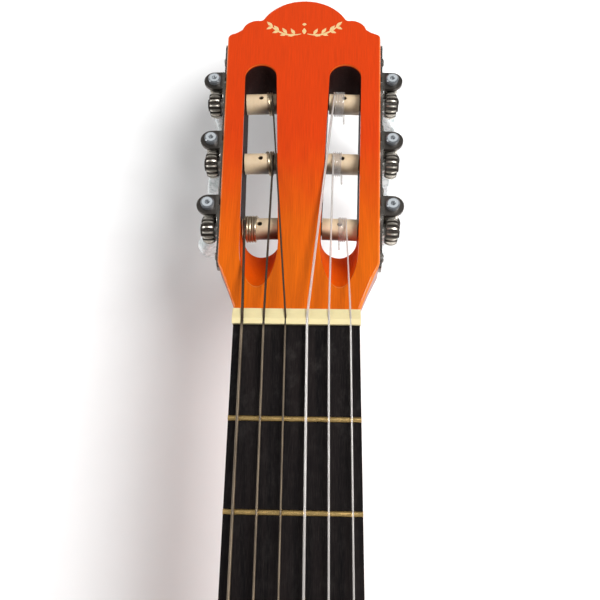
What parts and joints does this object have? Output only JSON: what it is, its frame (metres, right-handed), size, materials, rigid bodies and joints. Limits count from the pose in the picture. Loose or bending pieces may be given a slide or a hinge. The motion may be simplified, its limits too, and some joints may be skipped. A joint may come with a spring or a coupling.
{
  "type": "classical guitar",
  "caption": "Full-size nylon-string guitar with a hollow wooden body, slotted head and geared tuning machines, lying on its back.",
  "frame": {"origin": "middle of the instrument's length and width, in the plane of the back it lies on", "axes": "+X to the treble side, +Y to the head, +Z out of the soundboard"},
  "size_m": [0.366, 0.9888, 0.1102],
  "materials": {
    "top_wood": "amber gloss lacquer on spruce plywood",
    "side_wood": "red-brown gloss lacquer",
    "inner_wood": "bare wood",
    "neck_wood": "orange-red satin lacquer",
    "head_lacquer": "orange-red gloss lacquer",
    "bridge_wood": "dark oiled wood",
    "board_wood": "black-stained hardwood, matt",
    "rosette_inlay": "inlaid rings under lacquer",
    "binding": "gloss",
    "cream_bone": "satin cream",
    "fret_brass": "polished",
    "tuner_nickel": "nickel, slightly tarnished",
    "gear_steel": "bright steel with dark roots",
    "roller_plastic": "satin cream",
    "pearl_plastic": "pearly, slightly clear",
    "wound_bronze": "fine wire winding, dulled",
    "clear_nylon": "clear nylon"
  },
  "bodies": {
    "root": {"soundboard": "top_wood", "rosette": "rosette_inlay", "back_plate": "side_wood", "bass_side": "side_wood", "treble_side": "side_wood", "top_lining": "inner_wood", "back_lining": "inner_wood", "neck_block": "inner_wood", "tail_block": "inner_wood", "soundboard_braces": "inner_wood", "back_braces": "inner_wood", "top_binding": "binding", "back_binding": "binding", "bridge": "bridge_wood", "saddle": "cream_bone", "neck": "neck_wood", "heel_cap": "side_wood", "headstock": "head_lacquer", "fingerboard": "board_wood", "frets": "fret_brass", "nut": "cream_bone", "bass_tuner_plate": "tuner_nickel", "treble_tuner_plate": "tuner_nickel", "plate_screws": "tuner_nickel", "low_e_string": "wound_bronze", "a_string": "wound_bronze", "d_string": "wound_bronze", "g_string": "clear_nylon", "b_string": "clear_nylon", "high_e_string": "clear_nylon"},
    "low_e_capstan": {"low_e_roller": "roller_plastic", "low_e_gear": "gear_steel", "low_e_winding": "wound_bronze"},
    "low_e_peg": {"low_e_worm": "gear_steel", "low_e_button": "pearl_plastic"},
    "a_capstan": {"a_roller": "roller_plastic", "a_gear": "gear_steel", "a_winding": "wound_bronze"},
    "a_peg": {"a_worm": "gear_steel", "a_button": "pearl_plastic"},
    "d_capstan": {"d_roller": "roller_plastic", "d_gear": "gear_steel", "d_winding": "wound_bronze"},
    "d_peg": {"d_worm": "gear_steel", "d_button": "pearl_plastic"},
    "g_capstan": {"g_roller": "roller_plastic", "g_gear": "gear_steel", "g_winding": "clear_nylon"},
    "g_peg": {"g_worm": "gear_steel", "g_button": "pearl_plastic"},
    "b_capstan": {"b_roller": "roller_plastic", "b_gear": "gear_steel", "b_winding": "clear_nylon"},
    "b_peg": {"b_worm": "gear_steel", "b_button": "pearl_plastic"},
    "high_e_capstan": {"high_e_roller": "roller_plastic", "high_e_gear": "gear_steel", "high_e_winding": "clear_nylon"},
    "high_e_peg": {"high_e_worm": "gear_steel", "high_e_button": "pearl_plastic"}
  },
  "joints": [
    {"name": "low_e_peg_turn", "type": "hinge", "parent": "root", "child": "low_e_peg", "pos_m": [-0.04046, 0.37348, 0.07751], "axis": [0, 0.2079, 0.9781], "continuous": true},
    {"name": "low_e_roller_turn", "type": "hinge", "parent": "root", "child": "low_e_capstan", "pos_m": [-0.03472, 0.3655, 0.07921], "axis": [-0.9996, -0.0291, 0.0062], "continuous": true},
    {"name": "a_peg_turn", "type": "hinge", "parent": "root", "child": "a_peg", "pos_m": [-0.0415, 0.4077, 0.07024], "axis": [0, 0.2079, 0.9781], "continuous": true},
    {"name": "a_roller_turn", "type": "hinge", "parent": "root", "child": "a_capstan", "pos_m": [-0.03576, 0.39972, 0.07194], "axis": [-0.9996, -0.0291, 0.0062], "continuous": true},
    {"name": "d_peg_turn", "type": "hinge", "parent": "root", "child": "d_peg", "pos_m": [-0.04254, 0.44192, 0.06297], "axis": [0, 0.2079, 0.9781], "continuous": true},
    {"name": "d_roller_turn", "type": "hinge", "parent": "root", "child": "d_capstan", "pos_m": [-0.0368, 0.43394, 0.06466], "axis": [-0.9996, -0.0291, 0.0062], "continuous": true},
    {"name": "g_peg_turn", "type": "hinge", "parent": "root", "child": "g_peg", "pos_m": [0.04254, 0.44192, 0.06297], "axis": [0, 0.2079, 0.9781], "continuous": true},
    {"name": "g_roller_turn", "type": "hinge", "parent": "root", "child": "g_capstan", "pos_m": [0.0368, 0.43394, 0.06466], "axis": [0.9996, -0.0291, 0.0062], "continuous": true},
    {"name": "b_peg_turn", "type": "hinge", "parent": "root", "child": "b_peg", "pos_m": [0.0415, 0.4077, 0.07024], "axis": [0, 0.2079, 0.9781], "continuous": true},
    {"name": "b_roller_turn", "type": "hinge", "parent": "root", "child": "b_capstan", "pos_m": [0.03576, 0.39972, 0.07194], "axis": [0.9996, -0.0291, 0.0062], "continuous": true},
    {"name": "high_e_peg_turn", "type": "hinge", "parent": "root", "child": "high_e_peg", "pos_m": [0.04046, 0.37348, 0.07751], "axis": [0, 0.2079, 0.9781], "continuous": true},
    {"name": "high_e_roller_turn", "type": "hinge", "parent": "root", "child": "high_e_capstan", "pos_m": [0.03472, 0.3655, 0.07921], "axis": [0.9996, -0.0291, 0.0062], "continuous": true}
  ],
  "couplings": [
    {"joint": "low_e_roller_turn", "follows": "low_e_peg_turn", "ratio": 0.066667},
    {"joint": "a_roller_turn", "follows": "a_peg_turn", "ratio": 0.066667},
    {"joint": "d_roller_turn", "follows": "d_peg_turn", "ratio": 0.066667},
    {"joint": "g_roller_turn", "follows": "g_peg_turn", "ratio": -0.066667},
    {"joint": "b_roller_turn", "follows": "b_peg_turn", "ratio": -0.066667},
    {"joint": "high_e_roller_turn", "follows": "high_e_peg_turn", "ratio": -0.066667}
  ]
}
